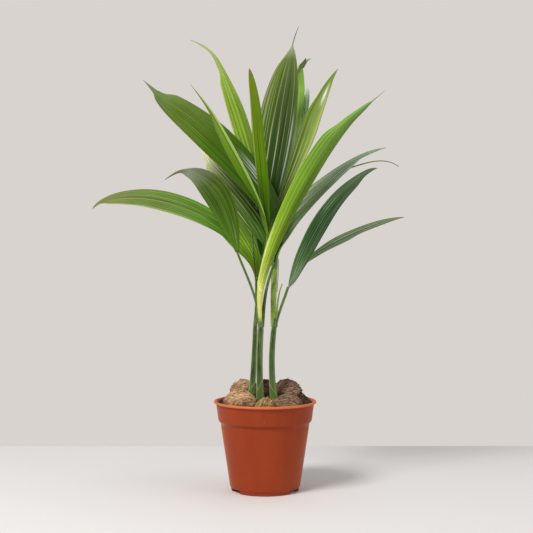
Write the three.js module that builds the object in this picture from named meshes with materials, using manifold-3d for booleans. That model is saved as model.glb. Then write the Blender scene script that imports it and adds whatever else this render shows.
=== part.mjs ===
// A young palm clump in a plain nursery pot: three seedlings growing from their husked nuts.
// Millimetres, +Z up. The origin is the middle of the pot's flat underside.
// The photograph's view looks along +Y, with +X to its right.
import * as THREE from 'three';
import { mergeVertices } from 'three/addons/utils/BufferGeometryUtils.js';
import Module from 'manifold-3d';

const wasm = await Module();
wasm.setup();

// Driving sizes
const clearance = 0.3;          // gap between pieces that meet
const rimRadius = 75;           // a 15 cm nursery pot
const potHeight = 130;
const potWall = 1.6;
const footRadius = 49.5;
const footHeight = 5;
const floorThickness = 6.4;
const bodyFootRadius = 51.3;    // the tapered body stands a little proud of the foot
const bodyTopRadius = 64.5;
const shoulderHeight = 97;      // the step under the wide collar
const collarFoot = 101.5;
const collarFootRadius = 68.2;
const collarTopRadius = 71.3;
const lipHeight = 5;
const channelWidth = 24;        // drainage channels under the floor
const channelStart = 17;
const drainRadius = 4.5;
const drainDistance = 34;
const channelTurns = [60, 180, 300];   // degrees round from the front

const soilEdge = 126.5;         // height of the soil at the pot's wall
const soilMiddle = 141;         // height of the mound's middle
const soilBank = 7;             // how much higher it is towards the back
const stemFlare = 1.4;          // how far a stem swells at its foot
const stemTop = 238;            // where the sheaths open and the stalks part
const bladeSides = 4;           // points across a blade's face
const bladeSteps = 14;
const thinnest = 90;            // a blade is its length over this thick
const bladeTip = 0.9;           // half width left at a blade's tip

const colours = {
  pot: 0x9b4126, soil: 0x2d1e1e, nut: 0x9c7f5c, stem: 0x41692f,
  stalk: 0x567f32, youngStalk: 0xc6c860, leaf: 0x3f7020, youngLeaf: 0x6f9a2c,
};

// Conversions between three.js geometries and closed solids
function toSolid(geometry) {
  const plain = geometry.index ? geometry.clone() : geometry;
  plain.deleteAttribute('normal');
  plain.deleteAttribute('uv');
  const merged = mergeVertices(plain, 1e-4);
  return new wasm.Manifold(new wasm.Mesh({
    numProp: 3,
    vertProperties: new Float32Array(merged.attributes.position.array),
    triVerts: new Uint32Array(merged.index.array),
  }));
}

function toGeometry(solid) {
  const mesh = solid.getMesh();
  const geometry = new THREE.BufferGeometry();
  geometry.setAttribute('position', new THREE.BufferAttribute(mesh.vertProperties, 3));
  geometry.setIndex(new THREE.BufferAttribute(mesh.triVerts, 1));
  return geometry;
}

// A cut can leave loose scraps: only the largest body is kept
function largestBody(solid) {
  const bodies = solid.decompose();
  bodies.sort((a, b) => b.volume() - a.volume());
  return bodies[0];
}

// A closed skin over rings of points, with a fan on each end
function skin(rings) {
  const count = rings[0].length;
  const corners = rings.flat();
  const faces = [];
  for (let ring = 0; ring < rings.length - 1; ring += 1) {
    for (let i = 0; i < count; i += 1) {
      const next = (i + 1) % count;
      const a = ring * count + i;
      const b = ring * count + next;
      faces.push(a, b, b + count, a, b + count, a + count);
    }
  }
  const last = (rings.length - 1) * count;
  for (let i = 1; i < count - 1; i += 1) {
    faces.push(0, i + 1, i);
    faces.push(last, last + i, last + i + 1);
  }
  const geometry = new THREE.BufferGeometry();
  const values = corners.flatMap((corner) => [corner.x, corner.y, corner.z]);
  geometry.setAttribute('position', new THREE.Float32BufferAttribute(values, 3));
  geometry.setIndex(faces);
  return toSolid(geometry);
}

// The smooth curve through four points: start, two on the way, end
function pathPoint(points, t) {
  const weights = [
    -4.5 * (t - 1 / 3) * (t - 2 / 3) * (t - 1),
    13.5 * t * (t - 2 / 3) * (t - 1),
    -13.5 * t * (t - 1 / 3) * (t - 1),
    4.5 * t * (t - 1 / 3) * (t - 2 / 3),
  ];
  const place = new THREE.Vector3();
  points.forEach((point, i) => place.addScaledVector(new THREE.Vector3(...point), weights[i]));
  return place;
}

function pathDirection(points, t) {
  const ahead = pathPoint(points, Math.min(t + 0.01, 1));
  return ahead.sub(pathPoint(points, Math.max(t - 0.01, 0))).normalize();
}

function pathLength(points) {
  const steps = 24;
  let length = 0;
  for (let i = 0; i < steps; i += 1) {
    length += pathPoint(points, i / steps).distanceTo(pathPoint(points, (i + 1) / steps));
  }
  return length;
}

// A round limb along a path. Its ends are cut level where level says so.
function limb({ path, radii, steps = 6, sides = 8, level = false }, grow = 0) {
  const rings = [];
  for (let i = 0; i <= steps; i += 1) {
    const t = i / steps;
    const middle = pathPoint(path, t);
    const along = level ? new THREE.Vector3(0, 0, 1) : pathDirection(path, t);
    const right = new THREE.Vector3().crossVectors(new THREE.Vector3(0, 1, 0), along).normalize();
    const back = new THREE.Vector3().crossVectors(along, right);
    if (i === 0) middle.addScaledVector(along, -grow);
    if (i === steps) middle.addScaledVector(along, grow);
    const radius = radii(t) + grow;
    const ring = [];
    for (let side = 0; side < sides; side += 1) {
      const angle = 2 * Math.PI * side / sides;
      ring.push(middle.clone()
        .addScaledVector(right, radius * Math.cos(angle))
        .addScaledVector(back, radius * Math.sin(angle)));
    }
    rings.push(ring);
  }
  return skin(rings);
}

// Half of a blade's width at t: root, a swell that is widest at belly, then the bare whip's tip
function bladeHalfWidth({ width, root, belly, fullness = 1, whip = 0 }, t) {
  const power = Math.log(0.5) / Math.log(belly);
  const swell = Math.sin(Math.PI * Math.min(t / (1 - whip), 1) ** power) ** fullness;
  return bladeTip + (width / 2 - bladeTip) * swell + (root / 2) * (1 - t) ** 5;
}

function bladePath({ path, stalk, seat }) {
  if (!stalk) return path;
  const { end } = stalks[stalk];
  return [end.map((value, axis) => value + seat[axis]), ...path];
}

// A thin blade along a path. turn is how far its face is turned from the photograph's plane,
// at the root and at the tip, and fold is how deep it is creased along its middle.
function blade(shape, grow = 0) {
  const { turn, fold = 0.25, from = 0, to = 1, steps = bladeSteps } = shape;
  const path = bladePath(shape);
  const thickness = Math.max(pathLength(path) / thinnest, 2) / 2 + grow;
  const rings = [];
  for (let i = 0; i <= steps; i += 1) {
    const t = from + (to - from) * i / steps;
    const along = pathDirection(path, t);
    const middle = pathPoint(path, t);
    if (i === 0) middle.addScaledVector(along, -grow);
    if (i === steps) middle.addScaledVector(along, grow);
    const flat = new THREE.Vector3().crossVectors(along, new THREE.Vector3(0, 1, 0)).normalize();
    const angle = THREE.MathUtils.degToRad(turn[0] + (turn[1] - turn[0]) * t);
    const across = flat.applyAxisAngle(along, angle);
    const face = new THREE.Vector3().crossVectors(along, across);
    const half = bladeHalfWidth(shape, t);
    const ring = [];
    for (const side of [1, -1]) {
      for (let k = 0; k < bladeSides; k += 1) {
        const u = side * (2 * k / (bladeSides - 1) - 1);
        const depth = fold * half * (0.5 - Math.abs(u)) - side * thickness;
        ring.push(middle.clone()
          .addScaledVector(across, u * (half + grow))
          .addScaledVector(face, depth));
      }
    }
    rings.push(ring);
  }
  return skin(rings);
}

// The pot: a turned shell with a lip, a collar and a stepped foot
function potProfile() {
  const collarTop = potHeight - lipHeight;
  const outside = [
    [0, 0], [footRadius - 1, 0], [footRadius, 1], [footRadius, footHeight],
    [bodyFootRadius - 0.6, footHeight + 0.4], [bodyFootRadius, footHeight + 2],
    [bodyTopRadius, shoulderHeight],
    [collarFootRadius - 0.6, collarFoot - 0.6], [collarFootRadius, collarFoot + 1],
    [collarTopRadius, collarTop], [rimRadius - 0.8, collarTop + 0.4],
    [rimRadius, collarTop + 2.2], [rimRadius - 0.9, potHeight - 0.4],
    [rimRadius - 2.4, potHeight], [collarTopRadius, potHeight - 0.6],
  ];
  const inside = [
    [collarTopRadius - potWall, collarTop], [collarFootRadius - potWall, collarFoot + 1.4],
    [bodyTopRadius - potWall, shoulderHeight + 0.4],
    [bodyFootRadius - potWall, floorThickness + 2.2],
    [bodyFootRadius - potWall - 2, floorThickness], [0, floorThickness],
  ];
  return { outside, inside };
}

function turned(profile, segments) {
  const geometry = new THREE.LatheGeometry(profile.map(([r, z]) => new THREE.Vector2(r, z)), segments);
  geometry.rotateX(Math.PI / 2);
  return toSolid(geometry);
}

function potSolid() {
  const { outside, inside } = potProfile();
  let solid = turned([...outside, ...inside], 40);
  for (const turn of channelTurns) {
    const angle = THREE.MathUtils.degToRad(turn - 90);
    const reach = rimRadius - channelStart;
    const channel = new THREE.BoxGeometry(reach, channelWidth, 2 * footHeight);
    channel.translate(channelStart + reach / 2, 0, 0);
    channel.rotateZ(angle);
    const drain = new THREE.CylinderGeometry(drainRadius, drainRadius, 4 * floorThickness, 12);
    drain.rotateX(Math.PI / 2);
    drain.translate(drainDistance * Math.cos(angle), drainDistance * Math.sin(angle), 0);
    solid = solid.subtract(toSolid(channel)).subtract(toSolid(drain));
  }
  return solid;
}

// The soil's height at a distance r from the middle and an angle: a mound, higher at the back
function soilHeight(r, angle) {
  const share = Math.min(r / (collarTopRadius - potWall), 1);
  const rise = (soilMiddle - soilEdge) * Math.cos(share * Math.PI / 2) ** 0.7;
  const bank = soilBank * Math.sin(angle) * Math.sin(Math.PI * share);
  return soilEdge + rise + Math.max(bank, 0);
}

// The soil fills the pot, one gap clear of its wall, under the mound
function soilSolid() {
  const { inside } = potProfile();
  const wall = inside.map(([r, z]) => [Math.max(r - clearance, 0), z]).reverse();
  wall[0][1] += clearance;
  wall[1][1] += clearance;
  wall[wall.length - 1][1] = soilEdge;
  wall[wall.length - 1][0] -= clearance;
  const mound = [56, 44, 31, 16, 0].map((r) => [r, soilHeight(r, 0)]);
  const outline = [...wall, ...mound].map(([r, z]) => new THREE.Vector2(r, z));
  const geometry = new THREE.LatheGeometry(outline, 28);
  geometry.rotateX(Math.PI / 2);
  const corners = geometry.attributes.position;
  for (let i = 0; i < corners.count; i += 1) {
    const x = corners.getX(i);
    const y = corners.getY(i);
    if (corners.getZ(i) > soilEdge + 0.01) {
      corners.setZ(i, soilHeight(Math.hypot(x, y), Math.atan2(y, x)));
    }
  }
  return toSolid(geometry);
}

// The husked nuts that the seedlings grew from, half buried: centre, size and heading
const nuts = {
  nut_front_left: { centre: [-33, -29, 127.5], size: [47, 36, 40], heading: 16 },
  nut_back_left: { centre: [-29, 15, 140], size: [42, 34, 40], heading: 50 },
  nut_front_middle: { centre: [-2, -49, 119], size: [36, 36, 40], heading: 80 },
  nut_front_right: { centre: [31, -33, 123], size: [45, 36, 39], heading: -15 },
  nut_back_right: { centre: [33, 14, 136.5], size: [42, 40, 41], heading: 25 },
  nut_rear_left: { centre: [-19, 44, 125], size: [44, 38, 38], heading: 10 },
  nut_rear_right: { centre: [24, 42, 124], size: [44, 38, 38], heading: -30 },
};

function nutSolid({ centre, size, heading }, grow = 0) {
  const geometry = new THREE.SphereGeometry(0.5, 12, 8);
  geometry.rotateZ(Math.PI / 2);
  geometry.scale(...size.map((side) => side + 2 * grow));
  geometry.rotateZ(THREE.MathUtils.degToRad(heading));
  geometry.translate(...centre);
  return toSolid(geometry);
}

// The stems, cut level at the soil and where the sheaths open, flared at the foot
const stems = {
  stem_left: { foot: [-19.5, -3, 139], top: [-14.5, 6], radius: 3.6, base: 5.0, sag: 0.6 },
  stem_middle: { foot: [-6.5, -28, 132], top: [-6, -27], radius: 4.2, base: 5.0, sag: 1.6 },
  stem_right: { foot: [13, -25, 133], top: [13, -22], radius: 3.9, base: 4.8, sag: 3 },
};

function stemSolid({ foot, top, radius, base, sag }, grow = 0) {
  const [x, y, z] = foot;
  const rise = stemTop - z;
  const way = (t, aside) => [x + (top[0] - x) * t - aside, y + (top[1] - y) * t, z + rise * t];
  const path = [foot, way(1 / 3, sag), way(2 / 3, sag), [...top, stemTop]];
  const flare = (t) => radius + (base - radius) * (1 - t) + stemFlare * (1 - t) ** 14;
  return limb({ path, radii: flare, steps: 9, sides: 10, level: true }, grow);
}

// The stalks, from the open sheaths to where the blade divides. radii are at foot and end.
const stalks = {
  rear_stalk: {
    foot: [-16.2, 8], way: [[-13.5, 9.5, 262], [-13, 12, 284]], end: [-13, 14.5, 305], radii: [1.9, 1.7],
  },
  tall_stalk: {
    foot: [-13.4, 4], way: [[-9.5, 0.5, 274], [-6, -3, 310]], end: [-2, -4, 344], radii: [1.9, 1.7],
  },
  side_stalk: {
    foot: [-8.4, -27], way: [[-13, -35, 275], [-25, -43, 310]], end: [-40, -50, 347], radii: [2, 1.6],
  },
  broad_stalk: {
    foot: [-3.6, -25.2], way: [[-2, -23, 265], [2.5, -20, 295]], end: [14, -16, 331], radii: [2, 1.8],
  },
  front_stalk: {
    foot: [-5.6, -30], way: [[-7, -33.5, 260], [-6.5, -36, 281]], end: [-5, -38, 302], radii: [2.1, 3.4],
  },
  spear_stalk: {
    foot: [12, -20], way: [[13.6, -14, 272], [14, -4, 306]], end: [14.4, 6, 340], radii: [2, 2.6],
  },
  low_stalk: {
    foot: [15.2, -24.6], way: [[18, -27.5, 257], [24, -31.5, 277]], end: [33, -35, 296], radii: [2, 2],
  },
  stem_right_sheath: {
    foot: [16.2, -19.6], way: [[18, -21, 262], [21, -22, 283]], end: [25, -20, 300], radii: [1.8, 0.9],
  },
};

function stalkSolid({ foot, way, end, radii }, grow = 0) {
  const path = [[...foot, stemTop + clearance], ...way, end];
  return limb({ path, radii: (t) => radii[0] + (radii[1] - radii[0]) * t, steps: 5, sides: 6 }, grow);
}

// The blades. A path runs to the tip from the end of the stalk, off by seat, which sinks
// the root a little into the stalk before it is cut clear. The young leaf's inner segments
// part from the margin of its right one instead, and have their own start.
const blades = {
  front_blade_right: {
    stalk: 'front_stalk', seat: [0, 0, -0.8],
    path: [[30, -53, 401], [87, -84, 491], [161, -120, 562]],
    width: 41, root: 8, belly: 0.52, turn: [35, 30], young: true,
  },
  front_blade_upright: {
    path: [[4, -50, 362], [-3, -55, 445], [-9, -64, 523], [-21, -70, 599]],
    width: 21, root: 3, belly: 0.45, fullness: 0.8, turn: [-30, -35], young: true,
  },
  front_blade_left: {
    path: [[-1.5, -45, 345], [-12, -62, 426], [-57, -85, 503], [-102, -105, 572]],
    width: 26, root: 4, belly: 0.55, turn: [-50, -62], young: true,
  },
  front_blade_inner: {
    path: [[17.5, -46, 373], [40, -34, 448], [66, -24, 530], [106, -8, 611]],
    width: 36, root: 4, belly: 0.5, turn: [-40, -40], young: true,
  },
  side_blade_near: {
    stalk: 'side_stalk', seat: [0.9, -1.2, -1],
    path: [[-53, -72, 399], [-85, -98, 444], [-134, -126, 441]],
    width: 38, root: 3, belly: 0.42, turn: [-15, -25],
  },
  side_blade_far: {
    stalk: 'side_stalk', seat: [-1.2, 0.8, -0.6],
    path: [[-99, -32, 403], [-177, 5, 427], [-260, 48, 412]],
    width: 32, root: 3, belly: 0.5, fullness: 0.7, turn: [20, 25],
  },
  broad_blade_left: {
    stalk: 'broad_stalk', seat: [-1.2, 0.4, -0.8],
    path: [[-12, -25, 439], [-89, -32, 523], [-175, -36, 591]],
    width: 59, root: 4, belly: 0.55, fullness: 0.75, turn: [32, 30],
  },
  broad_blade_right: {
    stalk: 'broad_stalk', seat: [1.5, 0.8, -0.8],
    path: [[47, 15, 409], [104, 42, 470], [184, 68, 506]],
    width: 38, root: 3, belly: 0.48, whip: 0.08, turn: [-45, -45],
  },
  tall_blade_upright: {
    stalk: 'tall_stalk', seat: [1.2, 0.6, -0.8],
    path: [[10, 18, 459], [24, 30, 571], [51, 46, 687]],
    width: 61, root: 4, belly: 0.58, fullness: 0.8, whip: 0.08, turn: [-32, -25],
  },
  tall_blade_left: {
    stalk: 'tall_stalk', seat: [-1.4, 0.8, -0.8],
    path: [[-30, 22, 404], [-65, 44, 458], [-99, 60, 508]],
    width: 44, root: 3, belly: 0.5, turn: [50, 45],
  },
  low_blade_upper: {
    stalk: 'low_stalk', seat: [0.5, -1.4, -0.6],
    path: [[63, -68, 363], [103, -92, 418], [153, -110, 458]],
    width: 28, root: 3, belly: 0.42, fullness: 0.8, turn: [40, 35],
  },
  low_blade_lower: {
    stalk: 'low_stalk', seat: [1.4, 0.8, -0.6],
    path: [[77, -18, 346], [141, 10, 382], [211, 46, 398]],
    width: 20, root: 3, belly: 0.42, fullness: 0.8, turn: [-50, -48],
  },
  spear_blade_left: {
    stalk: 'spear_stalk', seat: [-1.3, 0.6, -0.8],
    path: [[-11, 40, 457], [-45, 86, 578], [-113, 128, 681]],
    width: 44, root: 3, belly: 0.5, whip: 0.08, turn: [50, 45],
  },
  spear_blade_right: {
    stalk: 'spear_stalk', seat: [1.5, 1, -0.8],
    path: [[29, 45, 440], [46, 84, 546], [63, 118, 651]],
    width: 46, root: 3, belly: 0.6, fullness: 0.8, turn: [-50, -45],
  },
  rear_blade_left: {
    stalk: 'rear_stalk', seat: [-1.5, 0.5, -0.8],
    path: [[-27, 48, 355], [-46, 105, 424], [-73, 165, 513]],
    width: 36, root: 4, belly: 0.6, turn: [20, 50],
  },
  rear_blade_right: {
    stalk: 'rear_stalk', seat: [1.5, 0.5, -0.8],
    path: [[-2, 55, 357], [15, 115, 445], [31, 175, 547]],
    width: 38, root: 4, belly: 0.6, turn: [-20, -50],
  },
};

// A blade that arches over is two nodes, parted at its bend
const bends = { side_blade_near: 0.5, side_blade_far: 0.45 };

// Everything is set down in turn, and each piece is cut clear of those before it
const model = new THREE.Group();
const placed = [];

function overlaps(a, b) {
  return [0, 1, 2].every((axis) => a.min[axis] < b.max[axis] && b.min[axis] < a.max[axis]);
}

function addMesh(name, solid, colour, roughness) {
  const material = new THREE.MeshStandardMaterial({ color: colour, roughness, metalness: 0 });
  const mesh = new THREE.Mesh(toGeometry(solid), material);
  mesh.name = name;
  model.add(mesh);
}

function place(name, build, colour, roughness) {
  let solid = build(0);
  for (const other of placed) {
    if (overlaps(solid.boundingBox(), other.reach)) {
      solid = solid.subtract(other.grown);
    }
  }
  solid = largestBody(solid);
  const grown = build(clearance);
  placed.push({ grown, reach: grown.boundingBox() });
  addMesh(name, solid, colour, roughness);
}

addMesh('pot', potSolid(), colours.pot, 0.45);
for (const [name, stem] of Object.entries(stems)) {
  place(name, (grow) => stemSolid(stem, grow), colours.stem, 0.5);
}
for (const [name, nut] of Object.entries(nuts)) {
  place(name, (grow) => nutSolid(nut, grow), colours.nut, 0.95);
}
let soil = soilSolid();
for (const piece of placed) soil = soil.subtract(piece.grown);
addMesh('soil', largestBody(soil), colours.soil, 1);

for (const [name, stalk] of Object.entries(stalks)) {
  const colour = name.startsWith('front') ? colours.youngStalk : colours.stalk;
  place(name, (grow) => stalkSolid(stalk, grow), colour, 0.5);
}
for (const [name, shape] of Object.entries(blades)) {
  const colour = shape.young ? colours.youngLeaf : colours.leaf;
  if (name in bends) {
    const bend = bends[name];
    const gap = clearance / pathLength(bladePath(shape));
    place(`${name}_inner`, (grow) => blade({ ...shape, to: bend, steps: 8 }, grow), colour, 0.45);
    place(`${name}_outer`, (grow) => blade({ ...shape, from: bend + gap, steps: 8 }, grow), colour, 0.45);
  } else {
    place(name, (grow) => blade(shape, grow), colour, 0.45);
  }
}

export default model;
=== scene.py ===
import bmesh
import bpy
import math
from mathutils import Matrix, Vector
from types import SimpleNamespace


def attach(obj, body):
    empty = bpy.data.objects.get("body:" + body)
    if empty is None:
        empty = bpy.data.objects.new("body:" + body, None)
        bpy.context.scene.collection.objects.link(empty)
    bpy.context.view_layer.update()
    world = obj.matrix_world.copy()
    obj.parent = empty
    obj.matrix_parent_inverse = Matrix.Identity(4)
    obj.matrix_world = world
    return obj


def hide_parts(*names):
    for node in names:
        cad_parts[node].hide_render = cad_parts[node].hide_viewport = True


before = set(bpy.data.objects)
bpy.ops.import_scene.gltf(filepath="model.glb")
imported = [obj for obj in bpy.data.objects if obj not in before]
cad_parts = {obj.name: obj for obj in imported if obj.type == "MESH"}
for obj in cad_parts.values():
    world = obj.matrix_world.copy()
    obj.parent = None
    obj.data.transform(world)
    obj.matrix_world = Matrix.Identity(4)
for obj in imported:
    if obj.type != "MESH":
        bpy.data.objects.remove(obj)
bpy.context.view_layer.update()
mm = 0.001  # lengths are given in millimetres, those of the lamps in metres
fullTurn = 2 * math.pi
mergeDistance = 0.002 * mm


def srgb(code, dimmed=1):
    # a colour from its hex code in the renderer's linear values, dimmed to a share of itself
    def linear(value):
        return value / 12.92 if value <= 0.04045 else ((value + 0.055) / 1.055) ** 2.4
    return (*(linear(int(code[at:at + 2], 16) * dimmed / 255) for at in (0, 2, 4)), 1)


class Wire:
    # one output of a node, with Python's operators on it
    def __init__(self, tree, socket=None):
        self.tree = tree
        self.socket = socket

    def node(self, kind, sockets=None, out=0, **settings):
        made = self.tree.nodes.new(kind)
        for name, value in settings.items():
            if name == "stops":
                fillRamp(made.color_ramp, value)
            else:
                setattr(made, name, value)
        for name, value in (sockets or {}).items():
            if isinstance(value, Wire):
                self.tree.links.new(value.socket, made.inputs[name])
            else:
                made.inputs[name].default_value = value
        return Wire(self.tree, made.outputs[out])

    def maths(self, operation, *others):
        return self.node("ShaderNodeMath", dict(enumerate((self, *others))), operation=operation)

    def vectorMaths(self, operation, sockets):
        return self.node("ShaderNodeVectorMath", sockets, operation=operation)

    def pair(self, operation, first, second):
        many = ("VECTOR", "RGBA")
        pair = (first, second)
        vectors = [x.socket.type in many if isinstance(x, Wire) else isinstance(x, tuple) for x in pair]
        if all(vectors):
            return self.vectorMaths(operation, {0: first, 1: second})
        if any(vectors):  # a vector times a number
            vector, number = pair if vectors[0] else pair[::-1]
            return self.vectorMaths("SCALE", {0: vector, "Scale": number})
        return self.node("ShaderNodeMath", {0: first, 1: second}, operation=operation)

    def __add__(self, other):
        return self.pair("ADD", self, other)

    def __radd__(self, other):
        return self.pair("ADD", other, self)

    def __sub__(self, other):
        return self.pair("SUBTRACT", self, other)

    def __rsub__(self, other):
        return self.pair("SUBTRACT", other, self)

    def __mul__(self, other):
        return self.pair("MULTIPLY", self, other)

    def __rmul__(self, other):
        return self.pair("MULTIPLY", other, self)

    def __truediv__(self, other):
        return self.pair("DIVIDE", self, other)

    def __rtruediv__(self, other):
        return self.pair("DIVIDE", other, self)

    def __pow__(self, other):
        return self.pair("POWER", self, other)

    def __abs__(self):
        return self.maths("ABSOLUTE")

    def atMost(self, other):
        return self.maths("MINIMUM", other)

    def atLeast(self, other):
        return self.maths("MAXIMUM", other)

    def cosine(self):
        return self.maths("COSINE")

    def sine(self):
        return self.maths("SINE")

    def cross(self, other):
        return self.pair("CROSS_PRODUCT", self, other)

    def unit(self):
        return self.vectorMaths("NORMALIZE", {0: self})

    def ease(self, low, high):
        # 0 below low, 1 above high, smooth between
        spread = {"Value": self, "From Min": low, "From Max": high}
        return self.node("ShaderNodeMapRange", spread, interpolation_type="SMOOTHSTEP")

    def mix(self, first, second):
        # this factor mixes two colours
        return self.node("ShaderNodeMix", {0: self, 6: first, 7: second}, out=2, data_type="RGBA")

    def parts(self):
        made = self.node("ShaderNodeSeparateXYZ", {0: self})
        return [Wire(self.tree, output) for output in made.socket.node.outputs]

    def joined(self, x, y, z=0):
        return self.node("ShaderNodeCombineXYZ", {0: x, 1: y, 2: z})

    def noise(self, vector, scale, detail=3, rough=0.5, distortion=0):
        sockets = {"Vector": vector, "Scale": scale, "Detail": detail, "Roughness": rough}
        return self.node("ShaderNodeTexNoise", {**sockets, "Distortion": distortion})

    def grain(self, parts, scales, detail=2, rough=0.5, distortion=0):
        # noise drawn out by a scale of its own along each axis
        drawn = self.joined(*(part * scale for part, scale in zip(parts, scales)))
        return self.noise(drawn, 1, detail, rough, distortion)

    def ramp(self, stops):
        return self.node("ShaderNodeValToRGB", {"Fac": self}, stops=stops)

    def chance(self, low, high, seed):
        # a random vector or number between two values
        first, out, kind = (0, 0, "FLOAT_VECTOR") if isinstance(low, tuple) else (2, 1, "FLOAT")
        sockets = {first: low, first + 1: high, "Seed": seed}
        return self.node("FunctionNodeRandomValue", sockets, out=out, data_type=kind)

    def place(self):
        return self.node("ShaderNodeTexCoord", out=3)

    def uvParts(self):
        return self.node("ShaderNodeUVMap", uv_map="UVMap").parts()

    def stored(self, name):
        return self.node("ShaderNodeAttribute", out=2, attribute_name=name)


def fillRamp(colourRamp, stops):
    while len(colourRamp.elements) < len(stops):
        colourRamp.elements.new(1)
    for element, (place, colour) in zip(colourRamp.elements, stops):
        element.position = place
        element.color = colour


# Geometry trees

def newTree(name, **inputs):
    # for each kind of socket, the names of its inputs; a Length is a number that grow takes in millimetres
    tree = bpy.data.node_groups.new(name, "GeometryNodeTree")
    tree.interface.new_socket("Geometry", in_out="OUTPUT", socket_type="NodeSocketGeometry")
    for kind, labels in inputs.items():
        for label in labels.split():
            socketType = "NodeSocket" + kind.replace("Length", "Float")
            socket = tree.interface.new_socket(label, in_out="INPUT", socket_type=socketType)
            if kind == "Length":
                socket.subtype = "DISTANCE"
    group = tree.nodes.new("NodeGroupInput")
    given = {socket.name: Wire(tree, socket) for socket in group.outputs if socket.name}
    return Wire(tree), SimpleNamespace(**given)


def endTree(geometry, surface):
    # every tree ends in real geometry with its material on it
    real = geometry.node("GeometryNodeRealizeInstances", {0: geometry})
    dressed = real.node("GeometryNodeSetMaterial", {"Geometry": real, "Material": surface})
    out = geometry.tree.nodes.new("NodeGroupOutput")
    geometry.tree.links.new(dressed.socket, out.inputs[0])
    return geometry.tree


def linked(name, data):
    made = bpy.data.objects.new(name, data)
    bpy.context.scene.collection.objects.link(made)
    return made


def scaled(point):
    return [value * mm for value in point]


def plainMesh(thing):
    # the mesh of an object as its modifiers leave it
    ready = thing.evaluated_get(bpy.context.evaluated_depsgraph_get())
    return bpy.data.meshes.new_from_object(ready)


def grow(name, tree, values):
    # one run of a geometry tree, kept as a plain mesh at the origin; values may hold more than it needs
    maker = linked(name + "Maker", bpy.data.meshes.new(name + "Maker"))
    modifier = maker.modifiers.new("grow", "NODES")
    modifier.node_group = tree
    for item in tree.interface.items_tree:
        if item.in_out == "INPUT":
            value = values[item.name]
            if item.socket_type == "NodeSocketVector":
                value = scaled(value)
            elif item.socket_type == "NodeSocketFloat":
                value = float(value * mm if item.subtype == "DISTANCE" else value)
            modifier[item.identifier] = value
    mesh = plainMesh(maker)
    mesh.name = name
    bpy.data.objects.remove(maker)
    return linked(name, mesh)


def alongPath(points, t):
    # the smooth curve that meets its four points at 0, 1/3, 2/3 and 1; 4.5 and 13.5 make the shares add up
    start, near, far, end = points
    one, two, three = t - 1 / 3, t - 2 / 3, t - 1
    return (start * (one * two * three * -4.5) + near * (t * two * three * 13.5)
            + far * (t * one * three * -13.5) + end * (t * one * two * 4.5))


def headingAt(place, t, step=0.01):
    return (place(t + step) - place(t - step)).unit()


def store(geometry, name, value, kind="FLOAT", domain="POINT"):
    sockets = {"Geometry": geometry, "Name": name, "Value": value}
    return geometry.node("GeometryNodeStoreNamedAttribute", sockets, data_type=kind, domain=domain)


def storeUv(geometry, u, v):
    return store(geometry, "UVMap", geometry.joined(u, v), "FLOAT2", "CORNER")


def smoothSkin(geometry, place, closed=True):
    # moves a mesh's points into place, closes a grid's seam and ends, and shades it smooth
    skin = geometry.node("GeometryNodeSetPosition", {"Geometry": geometry, "Position": place})
    if closed:
        skin = skin.node("GeometryNodeMergeByDistance", {"Geometry": skin, "Distance": mergeDistance})
    return skin.node("GeometryNodeSetShadeSmooth", {"Geometry": skin})


def unitGrid(desk, columns, rows):
    # a grid one metre wide about the origin, and the place of its points across and along it
    sizes = {"Size X": 1, "Size Y": 1, "Vertices X": columns, "Vertices Y": rows}
    grid = desk.node("GeometryNodeMeshGrid", sizes)
    x, y, _ = desk.node("GeometryNodeInputPosition").parts()
    return grid, x, y


def tubeGrid(desk, given):
    # a grid, its way round (0 to 1), its way along (0 to 1, both ends doubled) and 0 at the ends
    grid, x, y = unitGrid(desk, given.columns, given.rows)
    step = 1 / (given.rows - 1)
    along = (y + 0.5 - step) / (1 - step * 2)
    along = along.node("ShaderNodeClamp", {0: along})
    inside = abs(y).maths("LESS_THAN", 0.5 - step / 2)
    return grid, x + 0.5, along, inside


# A blade: one pleated lobe of a leaf, on a path, widest at its belly

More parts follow.
